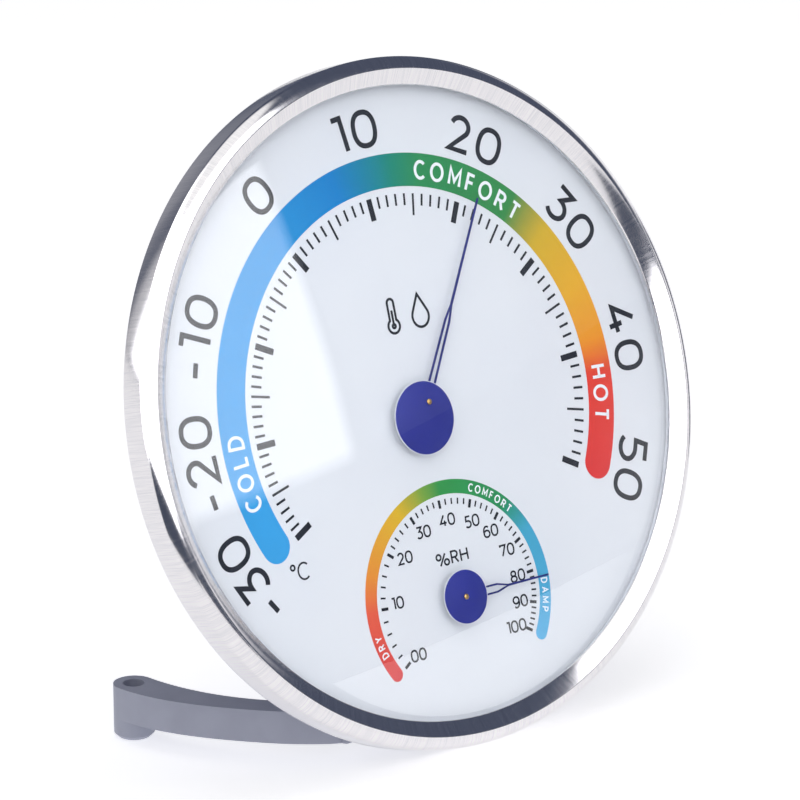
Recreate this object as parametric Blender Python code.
"""Round dial thermometer and hygrometer in a steel bezel, leaning back on a folding bail stand.

Built in metres, +Z up, standing on Z = 0 with the dial facing -Y. The case and its movements are
modelled in the dial's own frame: X to the right, Y up the dial, Z out of the dial, zero on its face.
"""

import math

import bmesh
import bpy
from mathutils import Matrix, Vector

MM = 0.001

# How the object stands
LEAN = math.radians(17.1)
TEMPERATURE_ANGLE = math.radians(30.8)
HUMIDITY_ANGLE = math.radians(90.6)

# Fits
GAP = 0.3 * MM
THIN_GAP = 0.2 * MM
RUNNING_GAP = 0.25 * MM
ROUND_STEPS = 96
SMALL_STEPS = 24

# Bezel ring, a spun steel sheet with its hem rolled in behind
BEZEL_RADIUS = 65.0 * MM
BEZEL_SHEET = 0.6 * MM
BEZEL_REAR = -3.2 * MM
BEZEL_CREST_IN = 2.5 * MM
BEZEL_CREST_RISE = 1.7 * MM
BEZEL_SHOULDER_DROP = 2.0 * MM
BEZEL_BULGE = (0.7 * MM, 0.35 * MM)
BEZEL_LIP_IN = 5.4 * MM
BEZEL_LIP_HEIGHT = 2.6 * MM
BEZEL_HEM = 1.0 * MM

# Dial and lens
DIAL_SHEET = 0.5 * MM
DIAL_SEAT_GAP = 0.1 * MM
LENS_THICKNESS = 0.8 * MM
LENS_DOME = 3.2 * MM
LENS_SEAT_GAP = 0.1 * MM
LENS_CLEARANCE = 2.8 * MM
SPACER_WIDTH = 1.3 * MM
HUMIDITY_DROP = 37.27 * MM

# Rear cover: a pan inside the bezel and a round chamber behind it
PAN_REAR = -3.8 * MM
PAN_WALL = 1.6 * MM
CHAMBER_TOP = 22.5 * MM
CHAMBER_BELOW_AXIS = 11.23 * MM
CHAMBER_REAR = -14.8 * MM
CHAMBER_WALL = 1.5 * MM
VENT_LENGTH = 11.0 * MM
VENT_WIDTH = 2.0 * MM
VENT_PITCH = 5.0 * MM
VENT_ROWS = 6
VENT_OFFSET = 20.5 * MM
KEYHOLE_RADIUS = 4.2 * MM
KEYHOLE_SLOT_RADIUS = 2.2 * MM
KEYHOLE_TRAVEL = 6.5 * MM
KEYHOLE_UP = 10.0 * MM

# Movement plate and its screws
PLATE_FRONT = -9.2 * MM
PLATE_THICKNESS = 0.8 * MM
PLATE_HALF_WIDTH = 14.0 * MM
PLATE_FOOT_HALF_WIDTH = 10.5 * MM
PLATE_TOP = 8.0 * MM
PLATE_BELOW_AXIS = 7.6 * MM
PLATE_TAPER = 9.0 * MM
PLATE_CORNER = 2.0 * MM
SCREW_SHANK_RADIUS = 0.8 * MM
SCREW_HEAD_RADIUS = 1.8 * MM
SCREW_HEAD_HEIGHT = 1.0 * MM
POST_WALL = 1.0 * MM
TOP_SCREW = (11.5 * MM, 4.5 * MM)
FOOT_SCREW = (8.5 * MM, 5.6 * MM)

# Arbors, bushes, collets and coils, the same for both movements
ARBOR_RADIUS = 0.55 * MM
ARBOR_TIP = 2.35 * MM
BUSH_WALL = 1.1 * MM
BUSH_FLANGE = 1.2 * MM
BUSH_FLANGE_THICKNESS = 0.6 * MM
FRONT_BUSH_LENGTH = 2.4 * MM
REAR_BUSH_RISE = 1.3 * MM
COLLET_RADIUS = 1.9 * MM
COLLET_FRONT = -3.2 * MM
COLLET_REAR = -7.4 * MM
COIL_FRONT = -3.8 * MM
COIL_THICKNESS = 0.35 * MM
COIL_STEPS_PER_TURN = 20
THERMO_COIL_RADIUS = 9.0 * MM
THERMO_COIL_WIDTH = 3.2 * MM
THERMO_COIL_TURNS = 4.5
HYGRO_COIL_RADIUS = 8.0 * MM
HYGRO_COIL_WIDTH = 2.6 * MM
HYGRO_COIL_TURNS = 3.5

# Adjusters: a ring round each rear bush, an arm to the coil's outer end, a tab through the cover
ADJUSTER_SHEET = 0.6 * MM
ADJUSTER_RING_WALL = 1.7 * MM
ADJUSTER_ARM_WIDTH = 2.0 * MM
ADJUSTER_POST = 0.8 * MM
ADJUSTER_TAB_RADIUS = 0.7 * MM
ADJUSTER_TAB_OUT = 6.4 * MM
ADJUSTER_TAB_RECESS = 0.6 * MM
ADJUSTER_SWING = math.radians(12.0)

# Pointers
POINTER_SHEET = 0.3 * MM
POINTER_LIFT = 1.25 * MM
POINTER_BOSS_RADIUS = 1.9 * MM
THERMO_POINTER_LENGTH = 41.3 * MM
THERMO_POINTER_KNEE = 16.3 * MM
THERMO_POINTER_FORK = 19.4 * MM
THERMO_POINTER_SPREAD = 1.4 * MM
THERMO_KNEE_SPREAD = 1.0 * MM
HYGRO_POINTER_LENGTH = 21.1 * MM
HYGRO_POINTER_KNEE = 8.2 * MM
HYGRO_POINTER_FORK = 10.9 * MM
HYGRO_POINTER_SPREAD = 1.55 * MM
HYGRO_KNEE_SPREAD = 1.45 * MM
POINTER_STRAND = 0.36 * MM
POINTER_TIP_WIDTH = 0.44 * MM
HUB_DISC_SHEET = 0.25 * MM
THERMO_DISC_RADIUS = 7.0 * MM
THERMO_DISC_OFFSET = 3.2 * MM
HYGRO_DISC_RADIUS = 5.2 * MM
HYGRO_DISC_OFFSET = 0.0

# Bail stand, lying flat behind the case
HINGE_IN = 8.7 * MM
HINGE_BEHIND_PAN = 3.8 * MM
HINGE_PIN_RADIUS = 1.0 * MM
HINGE_PIN_LENGTH = 44.0 * MM
KNUCKLE_RADIUS = 2.9 * MM
KNUCKLE_HALF_LENGTH = 26.5 * MM
LUG_HALF_WIDTH = 9.2 * MM
BAIL_ARC_BACK = 42.0 * MM
ARM_SPREAD = 20.65 * MM
BAIL_WIDTH = 5.5 * MM
BAIL_TOP = 3.4 * MM
BAIL_UNDERSIDE = -3.0 * MM
BAIL_FLARE = math.radians(34.0)
ARM_END = 0.5 * MM
FOOT_RADIUS = 3.9 * MM
FOOT_OUT = 1.1 * MM
FOOT_ANGLE = math.radians(6.0)
FOOT_HOLE_RADIUS = 2.05 * MM
FOOT_HOLE_DEPTH = 3.0 * MM
FOOT_CHAMFER = 0.8 * MM
BRIDGE_REAR = 5.9 * MM
BRIDGE_TOP = 1.5 * MM
HEEL_WIDTH = 5.0 * MM
HEEL_CENTRE = 15.0 * MM
HEEL_DROP = 4.2 * MM
HEEL_TOP = 1.0 * MM
HEEL_ROOT = 0.5 * MM
STUD_RADIUS = 1.5 * MM
STUD_ENTRY = 1.8 * MM

# Places that follow from the sizes above
CREST_HEIGHT = BEZEL_LIP_HEIGHT + BEZEL_CREST_RISE
LENS_FRONT = BEZEL_LIP_HEIGHT - BEZEL_SHEET - LENS_SEAT_GAP
LENS_REAR = LENS_FRONT - LENS_THICKNESS
LENS_RADIUS = BEZEL_RADIUS - BEZEL_SHEET - LENS_CLEARANCE
FLANGE_RADIUS = BEZEL_RADIUS - BEZEL_SHEET - GAP
FLANGE_REAR = BEZEL_REAR + BEZEL_SHEET + THIN_GAP
PAN_RADIUS = BEZEL_RADIUS - BEZEL_SHEET - BEZEL_HEM - GAP
FLANGE_FRONT = -DIAL_SHEET - DIAL_SEAT_GAP
CHAMBER_BOTTOM = -HUMIDITY_DROP - CHAMBER_BELOW_AXIS
CHAMBER_RADIUS = (CHAMBER_TOP - CHAMBER_BOTTOM) / 2
CHAMBER_MIDDLE = (CHAMBER_TOP + CHAMBER_BOTTOM) / 2
PLATE_REAR = PLATE_FRONT - PLATE_THICKNESS
PLATE_FOOT = -HUMIDITY_DROP - PLATE_BELOW_AXIS
FOOT_SCREW_DOWN = HUMIDITY_DROP + FOOT_SCREW[1]
BORE_RADIUS = ARBOR_RADIUS + RUNNING_GAP
BUSH_RADIUS = BORE_RADIUS + BUSH_WALL
DISC_LIFT = POINTER_LIFT + POINTER_SHEET + THIN_GAP
ADJUSTER_FRONT = PLATE_FRONT + GAP + ADJUSTER_SHEET
HINGE_DROP = BEZEL_RADIUS - HINGE_IN
HINGE_HEIGHT = PAN_REAR - HINGE_BEHIND_PAN
BAIL_ARC_RADIUS = math.hypot(BAIL_ARC_BACK, ARM_SPREAD)
DIAL_ABOVE_TABLE = BEZEL_RADIUS * math.cos(LEAN) - BEZEL_REAR * math.sin(LEAN)


def along_depth(up, out):
    """World Y, measured from the dial's centre, of a place on the case."""
    return up * math.sin(LEAN) - out * math.cos(LEAN)


def tilted(up, out):
    """World (Y, Z) offset of a place on the case, given up the dial and out of it."""
    return (along_depth(up, out), up * math.cos(LEAN) + out * math.sin(LEAN))


HINGE_DEPTH = along_depth(-HINGE_DROP, HINGE_HEIGHT)
HINGE_ABOVE_TABLE = (
    DIAL_ABOVE_TABLE - HINGE_DROP * math.cos(LEAN) + HINGE_HEIGHT * math.sin(LEAN)
)
FOOT_ARC = BAIL_ARC_RADIUS + FOOT_OUT
FOOT_SIDE = FOOT_ARC * math.cos(FOOT_ANGLE)
FOOT_BACK = BAIL_ARC_BACK - FOOT_ARC * math.sin(FOOT_ANGLE)
FRONT_EDGE = along_depth(-(BEZEL_RADIUS - BEZEL_CREST_IN), CREST_HEIGHT)
REAR_EDGE = HINGE_DEPTH + FOOT_BACK + FOOT_RADIUS
DIAL_DEPTH = -(FRONT_EDGE + REAR_EDGE) / 2


def clear_scene():
    for old in list(bpy.data.objects):
        bpy.data.objects.remove(old, do_unlink=True)


def finish(name, colour, roughness, metallic=0.0, alpha=1.0):
    material = bpy.data.materials.new(name)
    material.use_nodes = True
    shader = material.node_tree.nodes["Principled BSDF"]
    shader.inputs["Base Color"].default_value = (*colour, 1.0)
    shader.inputs["Roughness"].default_value = roughness
    shader.inputs["Metallic"].default_value = metallic
    shader.inputs["Alpha"].default_value = alpha
    return material


def axis_empty(name, parent=None, place=(0.0, 0.0, 0.0), turn=(0.0, 0.0, 0.0)):
    empty = bpy.data.objects.new(name, None)
    bpy.context.scene.collection.objects.link(empty)
    empty.parent = parent
    empty.location = place
    empty.rotation_euler = turn
    empty.empty_display_size = 5 * MM
    return empty


def solid(name, shape, material, parent):
    """Close a bmesh into an object; without a material it is a hidden tool for a Boolean."""
    bmesh.ops.recalc_face_normals(shape, faces=shape.faces)
    mesh = bpy.data.meshes.new(name)
    shape.to_mesh(mesh)
    shape.free()
    body = bpy.data.objects.new(name, mesh)
    bpy.context.scene.collection.objects.link(body)
    body.parent = parent
    if material:
        mesh.materials.append(material)
        mesh.shade_smooth()
        mesh.set_sharp_from_angle(angle=math.radians(30))
    else:
        body.hide_render = True
        body.display_type = "WIRE"
    return body


def turned(name, profile, material, parent, place=(0.0, 0.0), steps=ROUND_STEPS):
    """Spin an outline of (radius, height) points about the Z direction at a place on the dial.

    An outline that starts and ends on the axis is left open there, and each end is filled flat.
    """
    shape = bmesh.new()
    on_axis = profile[0][0] == 0
    points = profile[1:-1] if on_axis else profile
    corners = [shape.verts.new((radius, 0.0, height)) for radius, height in points]
    followers = corners[1:] if on_axis else corners[1:] + corners[:1]
    for first, second in zip(corners, followers):
        shape.edges.new((first, second))
    bmesh.ops.spin(
        shape,
        geom=list(shape.verts) + list(shape.edges),
        cent=(0, 0, 0),
        axis=(0, 0, 1),
        angle=math.tau,
        steps=steps,
    )
    bmesh.ops.remove_doubles(shape, verts=shape.verts, dist=1e-6)
    if on_axis:
        rims = [edge for edge in shape.edges if edge.is_boundary]
        bmesh.ops.edgeloop_fill(shape, edges=rims)
    bmesh.ops.translate(shape, verts=shape.verts, vec=(place[0], place[1], 0))
    return solid(name, shape, material, parent)


def rod(name, radius, low, high, material, parent, place=(0.0, 0.0), steps=SMALL_STEPS):
    profile = [(0, low), (radius, low), (radius, high), (0, high)]
    return turned(name, profile, material, parent, place, steps)


def prism(name, outline, low, high, material, parent):
    """Extrude an outline of (x, y) points from one height to another."""
    shape = bmesh.new()
    base = shape.faces.new([shape.verts.new((x, y, low)) for x, y in outline])
    grown = bmesh.ops.extrude_face_region(shape, geom=[base])["geom"]
    top = [part for part in grown if isinstance(part, bmesh.types.BMVert)]
    bmesh.ops.translate(shape, verts=top, vec=(0, 0, high - low))
    return solid(name, shape, material, parent)


def beam(name, outline, left, right, material, parent):
    """Extrude an outline of (y, z) points along X."""
    body = prism(name, outline, left, right, material, parent)
    body.data.transform(Matrix(((0, 0, 1, 0), (1, 0, 0, 0), (0, 1, 0, 0), (0, 0, 0, 1))))
    return body


def cross_rod(name, radius, half_length, material, parent, place=(0.0, 0.0)):
    """A rod lying along X, at a (y, z) place."""
    outline = [(place[0] + y, place[1] + z) for y, z in circle(radius, SMALL_STEPS)]
    return beam(name, outline, -half_length, half_length, material, parent)


def circle(radius, steps, middle=(0.0, 0.0)):
    turns = [math.tau * step / steps for step in range(steps)]
    return [(middle[0] + radius * math.cos(a), middle[1] + radius * math.sin(a)) for a in turns]


def arc(radius, start, end, steps, middle=(0.0, 0.0)):
    angles = [start + (end - start) * step / steps for step in range(steps + 1)]
    return [(middle[0] + radius * math.cos(a), middle[1] + radius * math.sin(a)) for a in angles]


def box(left, right, low, high):
    return [(left, low), (right, low), (right, high), (left, high)]


def boolean(target, tool, operation="DIFFERENCE"):
    step = target.modifiers.new(tool.name, "BOOLEAN")
    step.operation = operation
    step.solver = "EXACT"
    step.object = tool


def cut(target, tool):
    boolean(target, tool)


def join(target, tool):
    boolean(target, tool, "UNION")


def bezel_profile():
    """Section of the steel ring: sloping lip, crest, rounded outer face, straight wall, hem."""
    crest = Vector((BEZEL_RADIUS - BEZEL_CREST_IN, CREST_HEIGHT))
    shoulder = Vector((BEZEL_RADIUS, CREST_HEIGHT - BEZEL_SHOULDER_DROP))
    bulge = Vector((BEZEL_RADIUS - BEZEL_BULGE[0], CREST_HEIGHT - BEZEL_BULGE[1]))
    lip = Vector((BEZEL_RADIUS - BEZEL_LIP_IN, BEZEL_LIP_HEIGHT))
    face = []
    for step in range(6):
        t = step / 5
        face.append(crest * (1 - t) ** 2 + bulge * 2 * t * (1 - t) + shoulder * t**2)
    inner_wall = BEZEL_RADIUS - BEZEL_SHEET
    hem_top = BEZEL_REAR + BEZEL_SHEET
    down = Vector((0, BEZEL_SHEET))
    back = [
        (BEZEL_RADIUS, BEZEL_REAR),
        (inner_wall - BEZEL_HEM, BEZEL_REAR),
        (inner_wall - BEZEL_HEM, hem_top),
        (inner_wall, hem_top),
        (inner_wall, shoulder.y - BEZEL_SHEET / 2),
        tuple(crest - down * 1.2),
        tuple(lip - down),
    ]
    return [tuple(lip)] + [tuple(point) for point in face] + back


def lens_profile():
    """Section of the lens: a flat rim held under the bezel's lip, and a shallow dome inside it."""
    dome_radius = BEZEL_RADIUS - BEZEL_LIP_IN - GAP
    rear, front = [], []
    for step in range(13):
        share = step / 12
        rise = LENS_DOME * (1 - share**2)
        rear.append((dome_radius * share, LENS_REAR + rise))
        front.append((dome_radius * share, LENS_FRONT + rise))
    return rear + [(LENS_RADIUS, LENS_REAR), (LENS_RADIUS, LENS_FRONT)] + front[::-1]


def build_case(dial, looks):
    turned("bezel_ring", bezel_profile(), looks["steel"], dial)
    turned("lens", lens_profile(), looks["glass"], dial)
    spacer_low = THIN_GAP
    spacer_high = LENS_REAR - THIN_GAP
    spacer = [
        (LENS_RADIUS - SPACER_WIDTH, spacer_low),
        (LENS_RADIUS, spacer_low),
        (LENS_RADIUS, spacer_high),
        (LENS_RADIUS - SPACER_WIDTH, spacer_high),
    ]
    turned("lens_spacer", spacer, looks["spacer"], dial)
    plate = [(0, -DIAL_SHEET), (LENS_RADIUS, -DIAL_SHEET), (LENS_RADIUS, 0), (0, 0)]
    dial_plate = turned("dial_plate", plate, looks["dial"], dial)
    for place in ((0, 0), (0, -HUMIDITY_DROP)):
        hole = rod("dial_hole", BUSH_RADIUS + GAP, -MM, MM, None, dial, place)
        cut(dial_plate, hole)


def screw_places():
    top = [(side * TOP_SCREW[0], TOP_SCREW[1]) for side in (-1, 1)]
    foot = [(side * FOOT_SCREW[0], -FOOT_SCREW_DOWN) for side in (-1, 1)]
    return top + foot


def adjuster_slot(middle_y):
    """Outline of the curved slot that an adjuster's tab swings in, to the right of its axis."""
    reach = ADJUSTER_SWING + (ADJUSTER_TAB_RADIUS + GAP) / ADJUSTER_TAB_OUT
    half = ADJUSTER_TAB_RADIUS + GAP
    outer = arc(ADJUSTER_TAB_OUT + half, -reach, reach, 8, (0, middle_y))
    inner = arc(ADJUSTER_TAB_OUT - half, reach, -reach, 8, (0, middle_y))
    return outer + inner


def keyhole_outline():
    """Round entry with a narrower slot running up the dial from it."""
    half_angle = math.acos(KEYHOLE_SLOT_RADIUS / KEYHOLE_RADIUS)
    entry = arc(KEYHOLE_RADIUS, math.pi - half_angle, math.tau + half_angle, 20, (0, KEYHOLE_UP))
    seat = arc(KEYHOLE_SLOT_RADIUS, 0, math.pi, 8, (0, KEYHOLE_UP + KEYHOLE_TRAVEL))
    return entry + seat


def build_rear_cover(dial, looks):
    """Pan with a flange held by the bezel's hem, chamber, posts, hinge lug, studs and openings."""
    floor = PAN_REAR + PAN_WALL
    pan = [
        (0, PAN_REAR),
        (PAN_RADIUS, PAN_REAR),
        (PAN_RADIUS, FLANGE_REAR),
        (FLANGE_RADIUS, FLANGE_REAR),
        (FLANGE_RADIUS, FLANGE_FRONT),
        (PAN_RADIUS - PAN_WALL, FLANGE_FRONT),
        (PAN_RADIUS - PAN_WALL, floor),
        (0, floor),
    ]
    cover = turned("rear_cover", pan, looks["plastic"], dial)
    middle = (0, CHAMBER_MIDDLE)
    inside = CHAMBER_RADIUS - CHAMBER_WALL
    inner_floor = CHAMBER_REAR + CHAMBER_WALL
    overlap = PAN_WALL / 2
    join(cover, rod("chamber", CHAMBER_RADIUS, CHAMBER_REAR, floor - overlap, None, dial, middle, 72))
    cut(cover, rod("chamber_inside", inside, inner_floor, MM, None, dial, middle, 72))
    for place in screw_places():
        radius = SCREW_SHANK_RADIUS + GAP + POST_WALL
        join(cover, rod("post", radius, inner_floor - overlap, PLATE_REAR - GAP, None, dial, place))
    for place in screw_places():
        radius = SCREW_SHANK_RADIUS + GAP
        cut(cover, rod("post_hole", radius, inner_floor + GAP, 0, None, dial, place, 16))
    through = (CHAMBER_REAR - MM, inner_floor + MM)
    cut(cover, prism("keyhole", keyhole_outline(), *through, None, dial))
    for middle_y in (0, -HUMIDITY_DROP):
        cut(cover, prism("tab_slot", adjuster_slot(middle_y), *through, None, dial))
    for row in range(VENT_ROWS):
        for side in (-1, 1):
            up = (row - (VENT_ROWS - 1) / 2) * VENT_PITCH + CHAMBER_MIDDLE
            along = side * VENT_OFFSET
            ends = (along - VENT_LENGTH / 2, along + VENT_LENGTH / 2)
            slot = box(*ends, up - VENT_WIDTH / 2, up + VENT_WIDTH / 2)
            cut(cover, prism("vent", slot, *through, None, dial))
    lug_place = (-HINGE_DROP, HINGE_HEIGHT)
    lug = [(-HINGE_DROP + KNUCKLE_RADIUS, floor - overlap)]
    lug += [(-HINGE_DROP - KNUCKLE_RADIUS, floor - overlap)]
    lug += arc(KNUCKLE_RADIUS, math.pi, math.tau, 14, lug_place)
    join(cover, beam("lug", lug, -LUG_HALF_WIDTH, LUG_HALF_WIDTH, None, dial))
    bore = HINGE_PIN_RADIUS + GAP
    cut(cover, cross_rod("lug_bore", bore, LUG_HALF_WIDTH + MM, None, dial, lug_place))
    stud_up = FOOT_BACK - HINGE_DROP
    stud_rear = HINGE_HEIGHT + BAIL_TOP - STUD_ENTRY
    for side in (-1, 1):
        place = (side * FOOT_SIDE, stud_up)
        join(cover, rod("stud", STUD_RADIUS, stud_rear, floor - overlap, None, dial, place))


def build_movement_plate(dial, looks):
    outline = [
        (-PLATE_FOOT_HALF_WIDTH, PLATE_FOOT),
        (PLATE_FOOT_HALF_WIDTH, PLATE_FOOT),
        (PLATE_HALF_WIDTH, PLATE_FOOT + PLATE_TAPER),
        (PLATE_HALF_WIDTH, PLATE_TOP - PLATE_CORNER),
        (PLATE_HALF_WIDTH - PLATE_CORNER, PLATE_TOP),
        (-PLATE_HALF_WIDTH + PLATE_CORNER, PLATE_TOP),
        (-PLATE_HALF_WIDTH, PLATE_TOP - PLATE_CORNER),
        (-PLATE_HALF_WIDTH, PLATE_FOOT + PLATE_TAPER),
    ]
    plate = prism("movement_plate", outline, PLATE_REAR, PLATE_FRONT, looks["zinc"], dial)
    through = (PLATE_REAR - MM, PLATE_FRONT + MM)
    for middle_y in (0, -HUMIDITY_DROP):
        hole = rod("bush_hole", BUSH_RADIUS + GAP, *through, None, dial, (0, middle_y))
        cut(plate, hole)
        cut(plate, prism("swing_slot", adjuster_slot(middle_y), *through, None, dial))
    for place in screw_places():
        hole = rod("screw_hole", SCREW_SHANK_RADIUS + GAP, *through, None, dial, place)
        cut(plate, hole)
    for number, place in enumerate(screw_places(), start=1):
        seat = PLATE_FRONT + THIN_GAP
        end = CHAMBER_REAR + CHAMBER_WALL + 2 * GAP
        profile = [
            (0, end),
            (SCREW_SHANK_RADIUS, end),
            (SCREW_SHANK_RADIUS, seat),
            (SCREW_HEAD_RADIUS, seat),
            (SCREW_HEAD_RADIUS, seat + SCREW_HEAD_HEIGHT * 0.6),
            (SCREW_HEAD_RADIUS * 0.7, seat + SCREW_HEAD_HEIGHT),
            (0, seat + SCREW_HEAD_HEIGHT),
        ]
        turned(f"plate_screw_{number}", profile, looks["zinc"], dial, place, SMALL_STEPS)


def build_coil(name, radius, width, turns, material, parent):
    """Flat spiral strip from the collet out to the adjuster's post, which stands on +X."""
    inside = COLLET_RADIUS + GAP + COIL_THICKNESS / 2
    outside = radius - COIL_THICKNESS / 2
    count = round(turns * COIL_STEPS_PER_TURN)
    shape = bmesh.new()
    rings = []
    for step in range(count + 1):
        share = step / count
        angle = math.tau * turns * (share - 1)
        middle = inside + (outside - inside) * share
        corners = []
        for side, depth in ((-1, 0), (1, 0), (1, 1), (-1, 1)):
            reach = middle + side * COIL_THICKNESS / 2
            spot = (reach * math.cos(angle), reach * math.sin(angle), COIL_FRONT - depth * width)
            corners.append(shape.verts.new(spot))
        rings.append(corners)
    for first, second in zip(rings, rings[1:]):
        for side in range(4):
            after = (side + 1) % 4
            shape.faces.new((first[side], first[after], second[after], second[side]))
    shape.faces.new(rings[0])
    shape.faces.new(rings[-1])
    return solid(name, shape, material, parent)


def build_adjuster(name, coil_radius, coil_width, material, parent):
    ring_bore = BUSH_RADIUS + GAP
    ring_outside = ring_bore + ADJUSTER_RING_WALL
    post_inside = coil_radius + GAP
    half = ADJUSTER_ARM_WIDTH / 2
    rear = ADJUSTER_FRONT - ADJUSTER_SHEET
    join_angle = math.asin(half / ring_outside)
    outline = arc(ring_outside, join_angle, math.tau - join_angle, 24)
    outline += [(post_inside + ADJUSTER_POST, -half), (post_inside + ADJUSTER_POST, half)]
    body = prism(name, outline, rear, ADJUSTER_FRONT, material, parent)
    cut(body, rod(name + "_bore", ring_bore, rear - MM, ADJUSTER_FRONT + MM, None, parent))
    post = box(post_inside, post_inside + ADJUSTER_POST, -half * 0.8, half * 0.8)
    post_top = COIL_FRONT - coil_width * 0.1
    join(body, prism(name + "_post", post, rear + ADJUSTER_SHEET / 2, post_top, None, parent))
    tab_end = CHAMBER_REAR + ADJUSTER_TAB_RECESS
    tab_place = (ADJUSTER_TAB_OUT, 0)
    middle = ADJUSTER_FRONT - ADJUSTER_SHEET / 2
    tab = rod(name + "_tab", ADJUSTER_TAB_RADIUS, tab_end, middle, None, parent, tab_place, 16)
    join(body, tab)


def build_bushes(kind, axis, looks):
    front_high = THIN_GAP
    flange_high = -DIAL_SHEET - GAP
    flange_low = flange_high - BUSH_FLANGE_THICKNESS
    front = [
        (BORE_RADIUS, front_high - FRONT_BUSH_LENGTH),
        (BUSH_RADIUS, front_high - FRONT_BUSH_LENGTH),
        (BUSH_RADIUS, flange_low),
        (BUSH_RADIUS + BUSH_FLANGE, flange_low),
        (BUSH_RADIUS + BUSH_FLANGE, flange_high),
        (BUSH_RADIUS, flange_high),
        (BUSH_RADIUS, front_high),
        (BORE_RADIUS, front_high),
    ]
    turned(kind + "_front_bush", front, looks["brass"], axis, steps=SMALL_STEPS)
    seat = PLATE_REAR - GAP
    floor = seat - BUSH_FLANGE_THICKNESS
    high = PLATE_FRONT + REAR_BUSH_RISE
    rear = [
        (0, floor),
        (BUSH_RADIUS + BUSH_FLANGE, floor),
        (BUSH_RADIUS + BUSH_FLANGE, seat),
        (BUSH_RADIUS, seat),
        (BUSH_RADIUS, high),
        (BORE_RADIUS, high),
        (BORE_RADIUS, seat - GAP),
        (0, seat - GAP),
    ]
    turned(kind + "_rear_bush", rear, looks["brass"], axis, steps=SMALL_STEPS)


def build_arbor(kind, axis, looks):
    end = PLATE_REAR - GAP
    crown = ARBOR_TIP - ARBOR_RADIUS / 3
    profile = [
        (0, end),
        (ARBOR_RADIUS, end),
        (ARBOR_RADIUS, crown),
        (ARBOR_RADIUS * 0.7, ARBOR_TIP),
        (0, ARBOR_TIP),
    ]
    turned(kind + "_arbor", profile, looks["brass"], axis, steps=16)
    collet = [
        (BORE_RADIUS, COLLET_REAR),
        (COLLET_RADIUS, COLLET_REAR),
        (COLLET_RADIUS, COLLET_FRONT),
        (BORE_RADIUS, COLLET_FRONT),
    ]
    turned(kind + "_collet", collet, looks["brass"], axis, steps=SMALL_STEPS)


def build_pointer(name, length, knee, fork, spread, knee_spread, material, axis):
    """Thin hand, pointing up the dial: a boss, two strands that bend in at the knee, a needle."""
    tip = POINTER_TIP_WIDTH / 2
    half_strand = POINTER_STRAND / 2
    meet = math.acos((spread / 2 + half_strand) / POINTER_BOSS_RADIUS)
    side = [(knee_spread / 2 + half_strand, knee), (tip, fork), (tip * 0.8, length - tip)]
    outline = arc(POINTER_BOSS_RADIUS, math.pi - meet, math.tau + meet, 20)
    outline += side + [(0, length)] + [(-x, y) for x, y in side[::-1]]
    top = POINTER_LIFT + POINTER_SHEET
    hand = prism(name, outline, POINTER_LIFT, top, material, axis)
    low_half = spread / 2 - half_strand
    knee_half = knee_spread / 2 - half_strand
    window_low = POINTER_BOSS_RADIUS + GAP
    window = [(-low_half, window_low), (low_half, window_low), (knee_half, knee)]
    window += [(0, fork - POINTER_STRAND), (-knee_half, knee)]
    cut(hand, prism(name + "_window", window, 0, top + MM, None, axis))
    cut(hand, rod(name + "_hole", BORE_RADIUS, 0, top + MM, None, axis))


def build_hub_disc(name, radius, offset, material, axis):
    high = DISC_LIFT + HUB_DISC_SHEET
    disc = rod(name, radius, DISC_LIFT, high, material, axis, (0, -offset), 48)
    cut(disc, rod(name + "_hole", BORE_RADIUS, 0, high + MM, None, axis))


def build_movement(kind, centre, reading, pointer, disc, coil, looks):
    """Everything on one axis: bushes, adjuster, coil, arbor, collet, pointer and hub disc."""
    hand_axis = axis_empty(kind + "_hand_axis", centre, turn=(0, 0, -reading))
    build_bushes(kind, centre, looks)
    build_arbor(kind, hand_axis, looks)
    build_adjuster(kind + "_adjuster", coil[0], coil[1], looks["zinc"], centre)
    build_coil(kind + "_coil", *coil, looks[kind + "_strip"], centre)
    build_pointer(kind + "_pointer", *pointer, looks["hand"], hand_axis)
    build_hub_disc(kind + "_hub_disc", *disc, looks["hub"], hand_axis)


def bail_half_outline(side):
    """One arm in plan: a strip along the arc from its foot to the hinge, widening at the foot."""
    near_hinge = math.asin((BAIL_ARC_BACK - ARM_END) / BAIL_ARC_RADIUS)
    outer = []
    inner = []
    steps = 22
    for step in range(steps + 1):
        share = step / steps
        angle = FOOT_ANGLE + (near_hinge - FOOT_ANGLE) * share
        flare = max(0.0, 1 - (angle - FOOT_ANGLE) / BAIL_FLARE)
        flare = flare * flare * (3 - 2 * flare)
        middle = BAIL_ARC_RADIUS + FOOT_OUT * flare
        half = BAIL_WIDTH / 2 + (FOOT_RADIUS - BAIL_WIDTH / 2) * flare
        for reach, points in ((middle + half, outer), (middle - half, inner)):
            y = BAIL_ARC_BACK - reach * math.sin(angle)
            points.append((side * reach * math.cos(angle), max(y, ARM_END)))
    return outer + inner[::-1]


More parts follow.
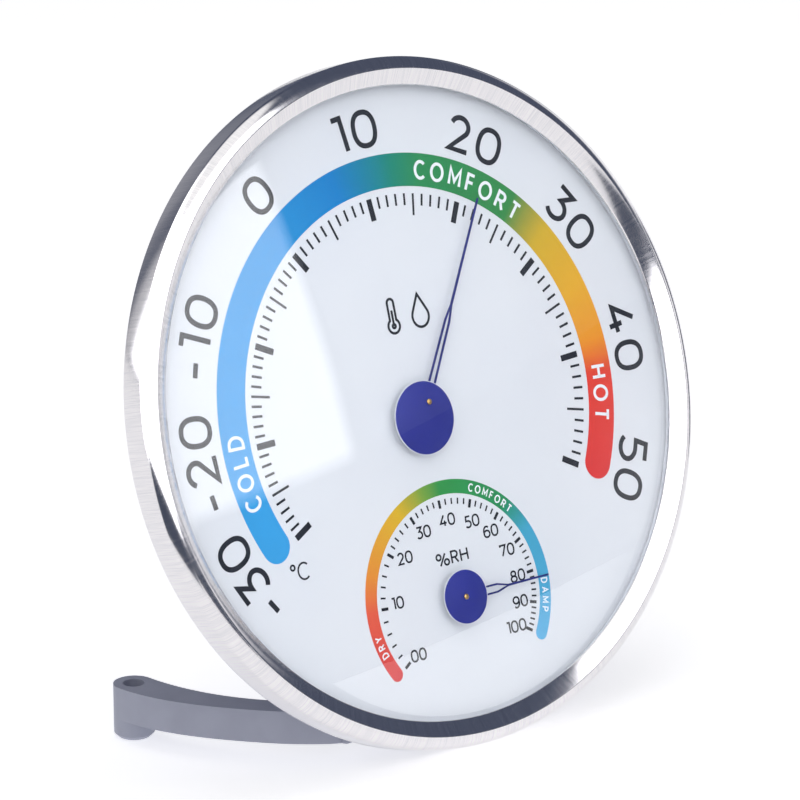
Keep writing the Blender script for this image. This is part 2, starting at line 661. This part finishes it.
def build_stand(looks, dial_depth):
    hinge = axis_empty("stand_axis", place=(0, dial_depth + HINGE_DEPTH, HINGE_ABOVE_TABLE))
    outline = bail_half_outline(-1)
    bail = prism("stand_bail", outline, BAIL_UNDERSIDE, BAIL_TOP, looks["plastic"], hinge)
    join(bail, prism("right_arm", bail_half_outline(1), BAIL_UNDERSIDE, BAIL_TOP, None, hinge))
    foot_low = -HINGE_ABOVE_TABLE
    for side in (-1, 1):
        place = (side * FOOT_SIDE, FOOT_BACK)
        profile = [
            (0, foot_low),
            (FOOT_RADIUS - FOOT_CHAMFER, foot_low),
            (FOOT_RADIUS, foot_low + FOOT_CHAMFER),
            (FOOT_RADIUS, BAIL_TOP),
            (0, BAIL_TOP),
        ]
        join(bail, turned("foot", profile, None, hinge, place, 32))
    web_height = (BAIL_UNDERSIDE, BRIDGE_TOP)
    bridge = box(-KNUCKLE_HALF_LENGTH, KNUCKLE_HALF_LENGTH, 0, BRIDGE_REAR)
    join(bail, prism("bridge", bridge, *web_height, None, hinge))
    join(bail, cross_rod("knuckles", KNUCKLE_RADIUS, KNUCKLE_HALF_LENGTH, None, hinge))
    heel_out = HINGE_BEHIND_PAN - GAP
    heel = [tilted(*corner) for corner in box(-HEEL_DROP, -HEEL_TOP, HEEL_ROOT, heel_out)]
    for side in (-1, 1):
        centre = side * HEEL_CENTRE
        ends = (centre - HEEL_WIDTH / 2, centre + HEEL_WIDTH / 2)
        join(bail, beam("heel", heel, *ends, None, hinge))
    pocket = LUG_HALF_WIDTH + GAP
    pocket_outline = box(-pocket, pocket, -2 * KNUCKLE_RADIUS, KNUCKLE_RADIUS + 2 * GAP)
    cut(bail, prism("lug_pocket", pocket_outline, -8 * MM, 8 * MM, None, hinge))
    bore = HINGE_PIN_RADIUS + GAP
    cut(bail, cross_rod("knuckle_bore", bore, HINGE_PIN_LENGTH / 2 + GAP, None, hinge))
    for side in (-1, 1):
        place = (side * FOOT_SIDE, FOOT_BACK)
        depth = (BAIL_TOP - FOOT_HOLE_DEPTH, BAIL_TOP + MM)
        cut(bail, rod("foot_hole", FOOT_HOLE_RADIUS, *depth, None, hinge, place))
    cross_rod("hinge_pin", HINGE_PIN_RADIUS, HINGE_PIN_LENGTH / 2, looks["zinc"], hinge)


def main():
    clear_scene()
    looks = {
        "steel": finish("stainless_steel", (0.78, 0.77, 0.77), 0.22, metallic=1.0),
        "glass": finish("clear_lens", (0.95, 0.97, 1.0), 0.02, alpha=0.25),
        "spacer": finish("white_spacer", (0.78, 0.8, 0.83), 0.5),
        "dial": finish("printed_dial", (0.69, 0.75, 0.82), 0.6),
        "plastic": finish("grey_plastic", (0.28, 0.28, 0.33), 0.5),
        "hand": finish("navy_hand", (0.02, 0.03, 0.16), 0.4),
        "hub": finish("blue_hub", (0.025, 0.035, 0.27), 0.35),
        "brass": finish("brass", (0.75, 0.55, 0.25), 0.3, metallic=1.0),
        "zinc": finish("zinc_steel", (0.6, 0.6, 0.62), 0.35, metallic=1.0),
        "thermo_strip": finish("bimetal_strip", (0.66, 0.58, 0.45), 0.35, metallic=1.0),
        "hygro_strip": finish("humidity_strip", (0.45, 0.4, 0.3), 0.6, metallic=0.6),
    }
    dial_place = (0, DIAL_DEPTH, DIAL_ABOVE_TABLE)
    dial = axis_empty("dial_axis", place=dial_place, turn=(math.pi / 2 - LEAN, 0, 0))
    build_case(dial, looks)
    build_rear_cover(dial, looks)
    build_movement_plate(dial, looks)
    thermo_pointer = (
        THERMO_POINTER_LENGTH,
        THERMO_POINTER_KNEE,
        THERMO_POINTER_FORK,
        THERMO_POINTER_SPREAD,
        THERMO_KNEE_SPREAD,
    )
    thermo_disc = (THERMO_DISC_RADIUS, THERMO_DISC_OFFSET)
    thermo_coil = (THERMO_COIL_RADIUS, THERMO_COIL_WIDTH, THERMO_COIL_TURNS)
    build_movement(
        "thermo", dial, TEMPERATURE_ANGLE, thermo_pointer, thermo_disc, thermo_coil, looks
    )
    humidity_axis = axis_empty("humidity_axis", dial, (0, -HUMIDITY_DROP, 0))
    hygro_pointer = (
        HYGRO_POINTER_LENGTH,
        HYGRO_POINTER_KNEE,
        HYGRO_POINTER_FORK,
        HYGRO_POINTER_SPREAD,
        HYGRO_KNEE_SPREAD,
    )
    hygro_disc = (HYGRO_DISC_RADIUS, HYGRO_DISC_OFFSET)
    hygro_coil = (HYGRO_COIL_RADIUS, HYGRO_COIL_WIDTH, HYGRO_COIL_TURNS)
    build_movement(
        "hygro", humidity_axis, HUMIDITY_ANGLE, hygro_pointer, hygro_disc, hygro_coil, looks
    )
    build_stand(looks, DIAL_DEPTH)


main()
